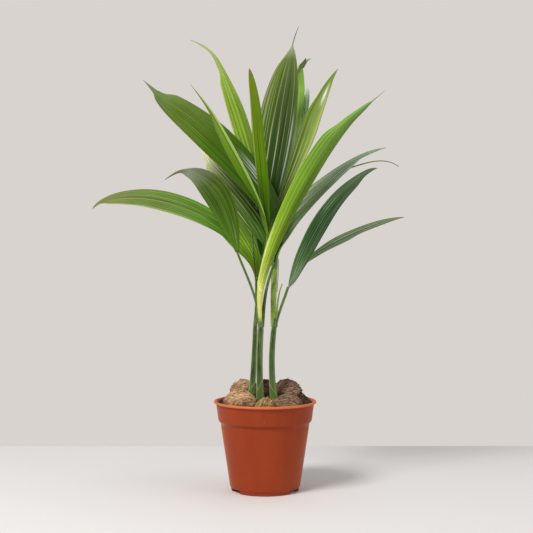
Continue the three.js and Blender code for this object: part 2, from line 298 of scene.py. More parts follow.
def bladeTree():
    desk, given = newTree(
        "palmBlade", Vector="start near far tip hook", Int="rows columns", Material="surface",
        Length="width root whipWidth thickness ripple",
        Float="hookStart power fullness whip shoulder shoulderStart rootTurn tipTurn "
              "fold ribs ribDepth shift")
    grid, around, t, inside = tubeGrid(desk, given)
    u = 1 - abs(around * 4 - 2)  # from -1 at one edge to 1 at the other
    side = (around - 0.5).maths("SIGN")

    def middleAt(t):
        # the path, with its tip pulled aside by the hook
        pull = ((t - given.hookStart) / (1 - given.hookStart)).atLeast(0)
        return alongPath((given.start, given.near, given.far, given.tip), t) + given.hook * pull ** 2

    middle = middleAt(t)
    forward = headingAt(middleAt, t)
    flat = forward.cross((0, 1, 0)).unit()
    turn = given.rootTurn + (given.tipTurn - given.rootTurn) * t
    across = flat * turn.cosine() + forward.cross(flat) * turn.sine()
    face = forward.cross(across)
    # half the width: a swell that is widest at the belly, a thin whip at the tip, a broader foot at the root
    swell = ((t / (1 - given.whip)).atMost(1) ** given.power * math.pi).sine()
    swell = swell.atLeast(0) ** given.fullness
    tipHalf = given.whipWidth * (((1 - t) / (given.whip + 0.03)).atMost(1) * 0.45 + 0.05)
    half = tipHalf + (given.width / 2 - tipHalf) * swell + given.root / 2 * (1 - t) ** 5 * t.ease(-0.01, 0.1)
    half = half * inside
    # past its shoulder one side is narrower
    late = t.ease(given.shoulderStart - 0.05, given.shoulderStart + 0.05)
    narrow = ((given.shoulder * u.maths("SIGN")).atLeast(0) * (1 - t) * 4).atMost(0.55)
    reach = u * (1 - narrow * late)
    # pleats and ripples, which fade out at both ends, and a gutter along the middle
    fade = (t * 6).atMost(1) * ((1 - t) * 8).atMost(1)
    phase = (u * 0.5 + 0.5) * given.ribs
    pleat = abs(phase.maths("FRACT") - 0.5) * 2 - 0.5
    crease = pleat * half * given.ribDepth * 2 / given.ribs * fade
    gutter = given.fold * half * (0.5 - (u * u + 0.006).maths("SQRT"))
    wave = (t * 13 + given.shift).sine() + (t * 29 + given.shift * 3 + u * 2).sine() * 0.45
    ripple = wave * given.ripple * (u * u * 0.8 + 0.2) * fade
    skinThickness = given.thickness / 2 * (1 - u ** 4).maths("SQRT") * inside * side
    place = middle + across * (reach * half) + face * (crease + gutter + ripple + skinThickness)
    return endTree(smoothSkin(storeUv(grid, u * 0.5 + 0.5, t), place), given.surface)


# A bough: a stem or stalk with fine grooves, and the slanting edge of the sheath that wraps it

stepEdge = (-0.15, 0.25)  # heights about the mouth of a sheath between which its step sets in
marginEdge = (0.1, 0.8)  # distances from the mouth between which its pale margin fades out


def boughTree():
    desk, given = newTree(
        "palmBough", Vector="start near far end", Int="rows columns", Material="surface",
        Length="footRadius endRadius flare grooveDepth gutter mouthHeight mouthRise mouthStep",
        Float="squash grooves taper")
    grid, around, t, inside = tubeGrid(desk, given)

    def middleAt(t):
        return alongPath((given.start, given.near, given.far, given.end), t)

    middle = middleAt(t)
    forward = headingAt(middleAt, t)
    right = desk.pair("CROSS_PRODUCT", (0, 1, 0), forward).unit()
    back = forward.cross(right)
    angle = around * fullTurn
    cosine, sine = angle.cosine(), angle.sine()
    height = middle.parts()[2]
    mouth = given.mouthHeight + given.mouthRise * cosine
    below = (mouth - height).ease(*scaled(stepEdge))
    radius = given.footRadius + (given.endRadius - given.footRadius) * t
    radius = radius + given.flare * (1 - t) ** 14 + below * given.mouthStep
    grooves = (angle * given.grooves + t * 5).sine() * given.grooveDepth
    wander = desk.noise(middle + right * (cosine * 0.01) + back * (sine * 0.01), 160, 2)
    grooves = grooves + (wander - 0.5) * given.grooveDepth * 3
    trough = given.gutter * ((0 - sine) - 0.55).ease(0, 0.45)
    radius = (radius + grooves - trough) * (1 - t.ease(0.85, 1) * given.taper) * inside
    place = middle + right * (radius * cosine) + back * (radius * sine * (1 - given.squash))
    margin = 1 - abs(height - mouth).ease(*scaled(marginEdge))
    mesh = storeUv(grid, around, height)
    for name, value in (("margin", margin), ("below", below), ("along", t)):
        mesh = store(mesh, name, value)
    return endTree(smoothSkin(mesh, place), given.surface)


# Surfaces

def newSurface(name):
    surface = bpy.data.materials.new(name)
    surface.use_nodes = True
    surface.node_tree.nodes.clear()
    return surface, Wire(surface.node_tree)


def finishSurface(desk, colour, roughness, bump=None, shine=0.5, sheen=None):
    # one Principled shader: what varies feeds colour, roughness and bump, the rest is fixed on it
    sockets = {"Base Color": colour, "Roughness": roughness, "Specular IOR Level": shine}
    if bump:
        height, relief, strength = bump
        sockets["Normal"] = desk.node("ShaderNodeBump", {
            "Height": height, "Distance": relief * mm, "Strength": strength})
    if sheen:
        weight, tint = sheen
        sockets |= {"Sheen Weight": weight, "Sheen Roughness": 0.3, "Sheen Tint": (*tint, 1)}
    shader = desk.node("ShaderNodeBsdfPrincipled", sockets)
    out = desk.tree.nodes.new("ShaderNodeOutputMaterial")
    desk.tree.links.new(shader.socket, out.inputs["Surface"])


def stopsOf(colours, paint):
    # a ramp's stops, from hex codes by their places in percent
    return [(at / 100, paint(code)) for at, code in colours.items()]


def layered(colour, *layers):
    # each layer is a mask, its strength and its hex code
    for mask, strength, code in layers:
        colour = (mask * strength).mix(colour, srgb(code))
    return colour


def leafSurface(name, look):
    # colours run from root to tip, and across goes from one edge (0) to the other (1)
    surface, desk = newSurface(name)
    seed, ribWidth = look["seed"], look["ribWidth"]

    # gain brightens all of a lobe's colours; for lobes that lie in shade it is painted light
    def paint(code):
        return (*(min(value * look["gain"], 1) for value in srgb(code)[:3]), 1)

    night, cream, gloss = (paint(look[key]) for key in ("night", "cream", "gloss"))
    across, along, _ = desk.uvParts()
    colour = along.ramp(stopsOf(look["colours"], paint))
    streak = desk.grain((across, along, seed), (look["streaks"], 1.6, 1), 4, 0.62)
    cloud = desk.noise(desk.place(), 22, 3)
    # lean paints one edge of the lobe lighter than the other: painted light and shade across it
    tone = (streak - 0.5) * look["contrast"] + (cloud - 0.5) * 0.5 + (across - 0.5) * look["lean"]
    colour = colour * (1 + tone * 0.9).atLeast(0.3)
    wobble = (desk.grain((along, seed, 0), (4, 1, 1)) - 0.5) * 0.03
    lines = look["ribs"] * look["lines"]
    pleat = abs((across * lines + 0.5).maths("FRACT") - 0.5) * 2
    broken = desk.grain((across, along, seed + 3), (lines, 5, 1)).ease(0.35, 0.65)
    line = (1 - pleat.ease(ribWidth * 0.3, ribWidth)) * (0.15 + broken * 0.85)
    line = line * along.ease(look["ribFrom"], look["ribFrom"] + 0.15)
    colour = (line * abs(look["rib"])).mix(colour, cream if look["rib"] > 0 else night)
    # a sheen mark is a painted highlight, light reflected off the leaf; stripes are its pale and dark
    # streaks, with painted light and shade on some lobes, noted there
    marks = [(mark, cream if mark[4] > 0 else night) for mark in look["stripes"]]
    for mark, shade in marks + [(mark, gloss) for mark in look["sheen"]]:
        at, width, start, end, strength = (value / 100 for value in mark)
        away = abs(across + wobble - at)
        shown = (1 - away.ease(width * 0.25, width * 0.6)) * along.ease(start - 0.06, start + 0.04)
        shown = shown * (1 - along.ease(end - 0.04, end + 0.08)) * (0.55 + streak * 0.9) * abs(strength)
        colour = shown.atMost(1).mix(colour, shade)
    fine = desk.grain((across, along, seed), (look["streaks"] * 2.2, 2.5, 1), rough=0.6)
    colour = ((0.5 - fine) * 2).atLeast(0).mix(colour, night)
    edge = abs(across - 0.5).ease(0.465, 0.497)
    colour = (edge * 0.12).mix(colour, cream)
    colour = layered(colour, (along.ease(1 - look["burn"], 1), 0.8, look["burnt"]))
    roughness = look["rough"] + (streak - 0.5) * 0.14 + line * 0.1
    height = fine * 0.5 + pleat.ease(0, 0.3) * 0.6
    finishSurface(desk, colour, roughness, (height, 0.15, 0.3), look["shine"])
    return surface


def boughSurface(name, look):
    # dark and pale run from foot to tip and mix in streaks; a painted highlight on the flanks, the sheath
    # and its margin lie over them
    surface, desk = newSurface(name)
    place = desk.place()
    parts = place.parts()
    along = desk.stored("along")
    streak = desk.grain(parts, (900, 900, 35), 4, 0.6)
    cloud = desk.noise(place, 60, 3)
    side = (desk.uvParts()[0] * fullTurn).cosine()
    dark, pale = (along.ramp(stopsOf(look[key], srgb)) for key in ("dark", "pale"))
    colour = (0.45 + (streak - 0.5) * 1.6 + (cloud - 0.5) * 0.9).ease(0.1, 0.9).mix(dark, pale)
    # the pale flanks are a painted highlight, strong along the stem's left side and weaker along its right
    paintedFlankHighlight = (0 - side).ease(0.6, 0.95) * 0.7 + side.ease(0.1, 1) * 0.4
    fleck = desk.grain(parts, (260, 260, 120)).ease(0.72, 0.78)
    worn = desk.grain(parts, (500, 500, 200)).ease(0.35, 0.6) * 0.6 + 0.4
    colour = layered(
        colour, (paintedFlankHighlight, look["paintedFlankHighlightStrength"], look["paintedFlankHighlight"]),
        (desk.stored("below"), look["belowStrength"], look["below"]), (fleck, 0.35, "968c5f"),
        (desk.stored("margin") * worn, look["marginStrength"], look["margin"]))
    roughness = 0.42 + (streak - 0.5) * 0.2
    finishSurface(desk, colour, roughness, (streak, 0.2, 0.4), shine=0.3, sheen=(0.35, (0.86, 0.9, 0.62)))
    return surface


# Camera, floor and light, as in the photograph

view = dict(
    place=(2.04, -1517, 325), lens=70.25, sensor=36, floorEnd=366, floorReach=3000,
    floorColours=("e5e4e6", "e9e8ea"), wall="d8d3ce", glow="e2ddd7", glowStrength=0.42)
lamps = {
    "keyLamp": dict(place=(-1.2, -1.45, 1.95), aim=(0, 0, 0.25), size=0.9, power=55, tint=(1, 0.97, 0.93)),
    "fillLamp": dict(place=(2.15, -0.85, 1.1), aim=(0, 0, 0.3), size=2, power=14, tint=(1, 0.99, 0.97)),
    "skyLamp": dict(place=(0.3, 0.5, 2.3), aim=(0, 0, 0.3), size=1.6, power=8, tint=(0.97, 0.99, 1)),
}


def makeCamera():
    data = bpy.data.cameras.new("camera")
    data.lens = view["lens"]
    data.sensor_width = view["sensor"]
    camera = linked("camera", data)
    camera.location = scaled(view["place"])
    camera.rotation_euler = (math.radians(90), 0, 0)
    bpy.context.scene.camera = camera


def makeFloor():
    surface, desk = newSurface("paleFloor")
    dull, bright = (srgb(code) for code in view["floorColours"])
    finishSurface(desk, desk.noise(desk.place(), 3, 2).mix(dull, bright), 0.75)
    far, end = scaled((view["floorReach"], view["floorEnd"]))
    mesh = bpy.data.meshes.new("floor")
    mesh.from_pydata([(-far, -far, 0), (far, -far, 0), (far, end, 0), (-far, end, 0)], [], [(0, 1, 2, 3)])
    mesh.materials.append(surface)
    linked("floor", mesh)


def makeLamps():
    for name, lamp in lamps.items():
        data = bpy.data.lights.new(name, "AREA")
        data.shape = "SQUARE"
        data.size = lamp["size"]
        data.energy = lamp["power"]
        data.color = lamp["tint"]
        holder = linked(name, data)
        holder.location = lamp["place"]
        aim = Vector(lamp["aim"]) - Vector(lamp["place"])
        holder.rotation_euler = aim.to_track_quat("-Z", "Y").to_euler()


def makeBackdrop():
    # the eye sees the wall's own colour, and the plant gets a dimmer glow from all round
    world = bpy.data.worlds.new("studio")
    bpy.context.scene.world = world
    world.use_nodes = True
    world.node_tree.nodes.clear()
    desk = Wire(world.node_tree)
    seen = desk.node("ShaderNodeBackground", {"Color": srgb(view["wall"]), "Strength": 1})
    lit = desk.node("ShaderNodeBackground", {"Color": srgb(view["glow"]), "Strength": view["glowStrength"]})
    both = desk.node("ShaderNodeMixShader", {0: desk.node("ShaderNodeLightPath"), 1: lit, 2: seen})
    out = world.node_tree.nodes.new("ShaderNodeOutputWorld")
    world.node_tree.links.new(both.socket, out.inputs["Surface"])
    bpy.context.scene.view_settings.view_transform = "Standard"


makeCamera()
makeFloor()
makeLamps()
makeBackdrop()
print("camera, floor and lamps are set")


def finishPiece(piece, slot, *nodes):
    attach(piece, "root")
    if nodes:
        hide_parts(*nodes)


# The pot: a moulded shell turned from its outline, with drainage cut into its foot.
# Its shades are the heights between which each one begins; the rim's is a painted highlight on the lip, the
# step's painted shade at the shoulder's step.

pot = dict(
    rimRadius=75, height=130, wall=1.6, footRadius=49.5, footHeight=5, floor=6.4, bodyFootRadius=51.3,
    bodyTopRadius=64.5, shoulder=97, collarFoot=101.5, collarFootRadius=68.2, collarTopRadius=71.3, lip=3.8,
    channelWidth=24, channelStart=17, drainRadius=4.5, drainDistance=34, channelTurns=(60, 180, 300),
    segments=180, drainSegments=32, sharpAngle=38,
    shades=dict(rim=(125.3, 126.8), step=(95.5, 98), collar=(100.5, 102), clean=(0, 9)))


def roundedOutline(points, softness=0.35, largest=2.4, steps=4):
    # each inner corner becomes a short curve
    made = [points[0]]
    for before, corner, after in zip(points, points[1:], points[2:]):
        a, b, c = Vector(before), Vector(corner), Vector(after)
        reach = min((a - b).length, (c - b).length, largest) * softness
        first = b + (a - b).normalized() * reach
        last = b + (c - b).normalized() * reach
        for step in range(steps + 1):
            s = step / steps
            made.append(tuple(first * (1 - s) ** 2 + b * (2 * s * (1 - s)) + last * s ** 2))
    made.append(points[-1])
    return made


def potOutline():
    foot, footTop, wall, floor = pot["footRadius"], pot["footHeight"], pot["wall"], pot["floor"]
    body, bodyTop, shoulder = pot["bodyFootRadius"], pot["bodyTopRadius"], pot["shoulder"]
    collar, collarTop, collarFoot = pot["collarFootRadius"], pot["collarTopRadius"], pot["collarFoot"]
    rim, top = pot["rimRadius"], pot["height"]
    lip = top - pot["lip"]
    outside = [
        (0, 0), (foot - 1, 0), (foot, 1), (foot, footTop), (body - 0.6, footTop + 0.4), (body, footTop + 2),
        (bodyTop - 0.55, shoulder - 5.6), (bodyTop - 0.75, shoulder - 5), (bodyTop, shoulder),
        (collar - 0.6, collarFoot - 0.6), (collar, collarFoot + 1), (collarTop, lip), (rim - 0.8, lip + 0.4),
        (rim, lip + 1.6), (rim - 0.9, top - 0.4), (rim - 2.4, top), (collarTop, top - 0.6)]
    inside = [
        (collarTop - wall, lip), (collar - wall, collarFoot + 1.4), (bodyTop - wall, shoulder + 0.4),
        (body - wall, floor + 2.2), (body - wall - 2, floor), (0, floor)]
    return roundedOutline(outside + inside)


def meshOf(name, sheet):
    mesh = bpy.data.meshes.new(name)
    sheet.to_mesh(mesh)
    sheet.free()
    return mesh


def turnedMesh(name, outline, segments):
    sheet = bmesh.new()
    rings = []
    for r, z in (scaled(point) for point in outline):
        angles = [fullTurn * k / segments for k in range(segments if r > 0 else 1)]
        rings.append([sheet.verts.new((r * math.cos(angle), r * math.sin(angle), z)) for angle in angles])
    for lower, upper in zip(rings, rings[1:]):
        for k in range(segments):
            n = (k + 1) % segments
            corners = [ring[i % len(ring)] for ring, i in ((lower, k), (lower, n), (upper, n), (upper, k))]
            sheet.faces.new(list(dict.fromkeys(corners)))
    bmesh.ops.recalc_face_normals(sheet, faces=sheet.faces)
    return meshOf(name, sheet)


def cutters():
    # the channels as one closed mesh and the drains as another
    channels, drains = bmesh.new(), bmesh.new()
    start, distance, radius = pot["channelStart"], pot["drainDistance"], pot["drainRadius"] * mm
    reach = pot["rimRadius"] - start
    for turn in pot["channelTurns"]:
        angle = math.radians(turn - 90)
        box = bmesh.ops.create_cube(channels, size=1)["verts"]
        bmesh.ops.scale(channels, verts=box, vec=scaled((reach, pot["channelWidth"], 2 * pot["footHeight"])))
        bmesh.ops.translate(channels, verts=box, vec=scaled((start + reach / 2, 0, 0)))
        bmesh.ops.rotate(channels, verts=box, cent=(0, 0, 0), matrix=Matrix.Rotation(angle, 3, "Z"))
        drain = bmesh.ops.create_cone(drains, cap_ends=True, segments=pot["drainSegments"], radius1=radius,
                                      radius2=radius, depth=4 * pot["floor"] * mm)["verts"]
        place = scaled((distance * math.cos(angle), distance * math.sin(angle), 0))
        bmesh.ops.translate(drains, verts=drain, vec=place)
    return [linked("channels", meshOf("channels", channels)), linked("drains", meshOf("drains", drains))]


def potSurface():
    surface, desk = newSurface("terracottaPlastic")
    place = desk.place()
    parts = place.parts()
    cloud = desk.noise(place, 14)
    drag = desk.grain(parts, (60, 60, 9), 4, 0.6)
    tone = (0.5 + (cloud - 0.5) * 0.8 + (drag - 0.5) * 0.6).ease(0.1, 0.9)
    above = {name: parts[2].ease(*scaled(heights)) for name, heights in pot["shades"].items()}
    scuff = desk.grain(parts, (240, 240, 90), 3, 0.7).ease(0.66, 0.8)
    # the pale band at the lip is a painted highlight and the dark band at the shoulder's step painted shade;
    # the scuffs are wear
    colour = layered(
        tone.mix(srgb("913719"), srgb("9e4220")), (above["rim"], 0.7, "e27e50"),
        (above["step"] * (1 - above["collar"]), 0.35, "76260e"), (scuff, 0.18, "ce8c70"),
        (1 - above["clean"], 0.25, "843824"))
    grain = desk.noise(place, 1400, 3)
    roughness = 0.44 + (cloud - 0.5) * 0.16 + scuff * 0.12
    finishSurface(
        desk, colour, roughness, (grain + drag * 2, 0.06, 0.5), shine=0.12, sheen=(0.65, (1, 0.5, 0.28)))
    return surface


def makePot():
    shell = linked("potShell", turnedMesh("potShell", potOutline(), pot["segments"]))
    tools = cutters()
    for tool in tools:
        cut = shell.modifiers.new("cut", "BOOLEAN")
        cut.operation = "DIFFERENCE"
        cut.solver = "EXACT"
        cut.object = tool
    mesh = plainMesh(shell)
    for used in [shell, *tools]:
        bpy.data.objects.remove(used)
    mesh.materials.clear()
    mesh.materials.append(potSurface())
    mesh.shade_smooth()
    mesh.set_sharp_from_angle(angle=math.radians(pot["sharpAngle"]))
    finishPiece(linked("nurseryPot", mesh), "pot", "pot")
    print("pot", len(mesh.polygons), "faces")


makePot()


# Boughs: stems from the soil, stalks from the stems, and thin loose strands

stemTop = 238
stems = {
    "stem_left": dict(foot=(-19.5, -3, 139), top=(-14.5, 6), sag=-0.5, radii=(4.6, 3.2), mouth=(150.5, 6.5)),
    "stem_middle": dict(foot=(-6.5, -28, 132), top=(-6, -27), sag=1.6, radii=(5, 4.2), mouth=(154.5, 9)),
    "stem_right": dict(foot=(13, -25, 133), top=(13, -22), sag=3, radii=(4.8, 3.9), mouth=(149, -8.5)),
}
stemWays = (0.37, 0.74, 1.12)  # where a stem's path has its points, as shares of the way to stemTop
stalks = {
    "rear_stalk": dict(
        path=((-16.2, 8, stemTop), (-13.5, 9.5, 262), (-13, 12, 284), (-13, 14.5, 305)), radii=(1.9, 1.7)),
    "tall_stalk": dict(
        path=((-13.4, 4, stemTop), (-9.5, 0.5, 274), (-6, -3, 310), (-2, -4, 344)), radii=(1.9, 1.7)),
    "side_stalk": dict(
        path=((-8.4, -27, stemTop), (-13, -35, 275), (-25, -43, 310), (-40, -50, 347)), radii=(2, 1.6)),
    "broad_stalk": dict(
        path=((-4.4, -25.2, stemTop), (-2, -23, 265), (2.5, -20, 295), (14, -16, 331)), radii=(3, 1.8)),
    "front_stalk": dict(
        path=((-6, -30, stemTop), (-7.4, -33.5, 260), (-7.7, -36, 281), (-5, -38, 302)), radii=(2, 5.2),
        gutter=0.8, look="young"),
    "spear_stalk": dict(
        path=((12, -20, stemTop), (12, -14, 272), (13, -4, 306), (14.4, 6, 340)), radii=(3.6, 5),
        gutter=1, look="spear"),
    "low_stalk": dict(
        path=((15.2, -24.6, stemTop), (19.6, -27.5, 257), (26.4, -31.5, 277), (33, -35, 296)), radii=(2, 2),
        gutter=0.4),
    "stem_right_sheath": dict(
        path=((16.2, -19.6, stemTop), (17.2, -21, 262), (19.6, -22, 283), (25, -20, 300)), radii=(1.8, 0.7),
        gutter=0.5, look="spear"),
}
strands = {
    "torn-leaf-strand": dict(
        path=((117, 56, 471), (148, 60, 480.5), (177, 62, 485.3), (202.6, 63, 476.7)), radii=(1.1, 0.6),
        look="straw"),
    "brown-thread": dict(
        path=((17.5, 2, 288), (18.6, 3, 304), (19.4, 4, 320), (19.9, 5, 336)), radii=(0.5, 0.4), look="dry"),
    "rear-leaf-rib": dict(
        path=((-13, 13.5, 303), (-15.6, 15, 328), (-17.8, 20, 352), (-19.2, 27, 378)), radii=(1.6, 0.8),
        look="darkRib"),
}
boughLooks = {
    "stem": dict(
        dark={0: "3a5c24", 25: "203c1a", 100: "203e1c"},
        pale={0: "708c3c", 25: "4e6c36", 100: "4c6a38"}, paintedFlankHighlight="b6ba82", paintedFlankHighlightStrength=1,
        below="487028", belowStrength=0.4, margin="c4a070", marginStrength=0.9),
    "green": dict(dark={0: "2a4e24", 100: "2c5420"}, pale={0: "547642", 100: "5c7e3e"}),
    "young": dict(
        dark={10: "40602e", 24: "b0ba50", 50: "cdd068", 100: "b8c254"},
        pale={10: "607e40", 24: "d2d46e", 50: "e8e68c", 100: "d6dc74"}),
    "straw": dict(dark={0: "545c34", 100: "706246"}, pale={0: "82845c", 100: "968a68"}),
    "dry": dict(dark={0: "605434", 100: "786040"}, pale={0: "968c60", 100: "a89068"}),
    "darkRib": dict(dark={0: "304a14", 100: "344a16"}, pale={0: "50682c", 100: "546c2c"}),
    "spear": dict(
        dark={0: "6a8c30", 100: "587c2e"}, pale={0: "96b04c", 100: "80a046"},
        paintedFlankHighlight="c4c874"),
}
plainLook = dict(
    paintedFlankHighlight="aab270", paintedFlankHighlightStrength=0.7, below="3c5028", belowStrength=0, margin="be9e70",
    marginStrength=0)
plainBough = dict(
    flare=0, squash=0, grooves=9, grooveDepth=0.04, gutter=0, taper=0, mouthHeight=0, mouthRise=0,
    mouthStep=0, rows=110, columns=45)
stemShape = dict(
    flare=1.4, grooves=11, grooveDepth=0.05, taper=0.5, mouthStep=0.35, rows=180, columns=65)
strandShape = dict(squash=0.3, grooves=3, grooveDepth=0.03, rows=60, columns=17)


def growBough(name, tree, path, radii, surface, *shapes):
    values = dict(zip(("start", "near", "far", "end", "footRadius", "endRadius"), (*path, *radii)))
    for shape in (plainBough, *shapes):
        values |= shape
    return grow(name.replace("_", "-"), tree, values | dict(surface=surface))


def stemPath(stem):
    # straight from foot to top, bowed aside by its sag, which 4.5 makes full at a third of the way
    x, y, z = stem["foot"]
    topX, topY = stem["top"]
    path = [stem["foot"]]
    for t in stemWays:
        bow = stem["sag"] * 4.5 * t * (1 - t)
        path.append((x + (topX - x) * t - bow, y + (topY - y) * t, z + (stemTop - z) * t))
    return path


def makeBoughs():
    tree = boughTree()
    skins = {key: boughSurface(key + "Skin", {**plainLook, **look}) for key, look in boughLooks.items()}
    for name, stem in stems.items():
        height, rise = stem["mouth"]
        mouth = dict(mouthHeight=height, mouthRise=rise)
        piece = growBough(name, tree, stemPath(stem), stem["radii"], skins["stem"], stemShape, mouth)
        finishPiece(piece, "stem", name)
    for name, stalk in stalks.items():
        skin, gutter = skins[stalk.get("look", "green")], dict(gutter=stalk.get("gutter", 0.3))
        piece = growBough(name, tree, stalk["path"], stalk["radii"], skin, gutter)
        finishPiece(piece, "young_stalk" if name == "front_stalk" else "stem", name)
    for name, strand in strands.items():
        piece = growBough(name, tree, strand["path"], strand["radii"], skins[strand["look"]], strandShape)
        finishPiece(piece, "leaf")
    print("stems, stalks and strands are grown")


makeBoughs()


# The soil: a mound of peat inside the pot, with heaps against the nuts and loose crumbs on it

soil = dict(
    edge=126, middle=141, dome=0.7, bank=8, front=(-44, -20), frontShare=0.15, radius=69.2, under=104,
    underRise=18, topShare=0.8, lumps=3.2, rings=90, spokes=260, dark="1c1612", pale="48342a")
heaps = [(51, 6, 8, 13), (-46, 6, 4, 12), (2, 26, 11, 20)]  # x, y, height and spread of each
crumbs = {
    "fine": dict(smallest=0.35, largest=1.1, seed=3, reach=68),
    "coarse": dict(smallest=1, largest=2.3, seed=8, reach=66),
}
crumbSpill = 1.5  # they lie no further than this below the mound's edge
crumbLean = (-10, 40)  # from left to right, where a leaning kind grows dense
peats = {
    "dark": dict(dark="1a1613", pale="322822", fine=150000, coarse=19000, lean=0),
    "brown": dict(dark="382a22", pale="644a3a", fine=110000, coarse=14000, lean=0.8),
    "rust": dict(dark="583a2e", pale="946852", fine=52000, coarse=8000, lean=1.6),
}


def soilHeight(x, y):
    reach = (x * x + y * y).maths("SQRT")
    share = (reach / (soil["radius"] * mm)).atMost(1)
    rise = ((share * (math.pi / 2)).cosine() ** soil["dome"]) * ((soil["middle"] - soil["edge"]) * mm)
    bank = (y / (reach + 0.0001)).atLeast(0) * (share * math.pi).sine() * (soil["bank"] * mm)
    front = y.ease(*scaled(soil["front"])) * (1 - soil["frontShare"]) + soil["frontShare"]
    height = rise * front + bank + soil["edge"] * mm
    for centreX, centreY, top, spread in heaps:
        away = ((x - centreX * mm) ** 2 + (y - centreY * mm) ** 2) / (spread * mm) ** 2
        height = height + (0 - away).maths("EXPONENT") * (top * mm) * (1 - share ** 8)
    return height, share


def soilTree():
    # a disc whose outer rings fold back under it
    desk, given = newTree("peatMound", Int="rings spokes", Length="lumps", Material="surface")
    grid, outward, around = unitGrid(desk, given.rings, given.spokes)
    outward = outward + 0.5
    angle = (around + 0.5) * fullTurn
    top = (outward / soil["topShare"]).atMost(1)
    under = 1 - ((outward - soil["topShare"]) / (1 - soil["topShare"])).atLeast(0)
    reach = top * under * (soil["radius"] * mm)
    x, y = angle.cosine() * reach, angle.sine() * reach
    height, share = soilHeight(x, y)
    rough = desk.noise(desk.joined(x, y), 130, 5, 0.62) - 0.5
    lumps = rough * given.lumps * (1 - share ** 6)
    below = under.maths("LESS_THAN", 0.999)
    lift = (height + lumps) * (1 - below) + below * (soil["under"] * mm + under * (soil["underRise"] * mm))
    return endTree(smoothSkin(grid, desk.joined(x, y, lift)), given.surface)


def crumbTree():
    # chips of one kind dealt out over the mound by chance, more of them to the right where it leans
    desk, given = newTree(
        "peatCrumbs", Object="ground", Length="smallest largest reach", Float="density lean", Int="seed",
        Material="surface")
    ground = desk.node("GeometryNodeObjectInfo", {"Object": given.ground}, out="Geometry")
    x, y, z = desk.node("GeometryNodeInputPosition").parts()
    near = (x * x + y * y).maths("SQRT").maths("LESS_THAN", given.reach)
    above = z.maths("GREATER_THAN", (soil["edge"] - crumbSpill) * mm)
    density = given.density * (1 + given.lean * x.ease(*scaled(crumbLean)))
    points = ground.node("GeometryNodeDistributePointsOnFaces", {
        "Mesh": ground, "Selection": near * above, "Density": density, "Seed": given.seed})
    chip = desk.node("GeometryNodeMeshIcoSphere", {"Radius": 1, "Subdivisions": 1})
    turned = desk.chance((0, 0, 0), (6.28, 6.28, 6.28), given.seed)
    size = desk.chance((0.45, 0.7, 0.35), (1, 1.5, 0.8), 21)
    spread = desk.chance(0, 1, 5)
    scale = size * (given.smallest + (given.largest - given.smallest) * spread ** 3)
    placed = points.node("GeometryNodeInstanceOnPoints", {
        "Points": points, "Instance": chip, "Rotation": turned, "Scale": scale})
    return endTree(placed, given.surface)


def peatSurface(name, dark, pale, dimmed=1):
    surface, desk = newSurface(name)
    grit = desk.noise(desk.place(), 420, 5, 0.7)
    clod = desk.noise(desk.place(), 90)
    tone = (0.5 + (grit - 0.5) * 1.5 + (clod - 0.5) * 0.8).ease(0.25, 0.9)
    colour = tone.mix(srgb(dark, dimmed), srgb(pale))
    finishSurface(desk, colour, 0.9, (grit, 0.6, 0.8), shine=0.2)
    return surface


def makeSoil():
    surface = peatSurface("peat", soil["dark"], soil["pale"])
    mound = grow("peat-mound", soilTree(), soil | dict(surface=surface))
    tree = crumbTree()
    for offset, (kind, peat) in enumerate(peats.items()):
        surface = peatSurface(kind + "Crumb", peat["dark"], peat["pale"])
        for name, heap in crumbs.items():
            own = dict(ground=mound, density=peat[name], seed=heap["seed"] + offset, surface=surface)
            piece = grow(name + "-" + kind + "-crumbs", tree, heap | peat | own)
            finishPiece(piece, "soil")
    finishPiece(mound, "soil", "soil")
    print("soil and crumbs are laid")


makeSoil()


# The nuts: fibrous husks, each with its own colour, half buried

nuts = {
    "nut_front_left": dict(
        centre=(-35, -33, 126.8), size=(51, 40, 42), heading=-8, dark="9e7652", pale="eac496", cut=0.9),
    "nut_back_left": dict(
        centre=(-30, 14, 137.5), size=(46, 36, 41), heading=40, dark="886448", pale="d6b28a"),
    "nut_front_middle": dict(
        centre=(0.5, -49, 118), size=(40, 35, 41), heading=75, dark="987248", pale="e4be88"),
    "nut_front_right": dict(
        centre=(31, -34, 123), size=(46, 38, 41), heading=-12, dark="6a5240", pale="be9c7e"),
    "nut_back_right": dict(
        centre=(33, 13, 136.5), size=(44, 41, 42), heading=25, dark="5e483c", pale="b8947a"),
    "nut_rear_left": dict(
        centre=(-19, 44, 125), size=(44, 38, 38), heading=10, dark="806044", pale="c4a278"),
    "nut_rear_right": dict(
        centre=(24, 42, 124), size=(44, 38, 38), heading=-30, dark="68503e", pale="b09070"),
}
plainNut = dict(cut=1, ridges=0.19, dents=0.32, fibres=48000)
nutReach = 66.5  # the nuts are pressed in to this distance from the pot's middle
fibreLengths = (3, 12)
soiledHeights = (131, 142)  # between these the soil on a husk thins out


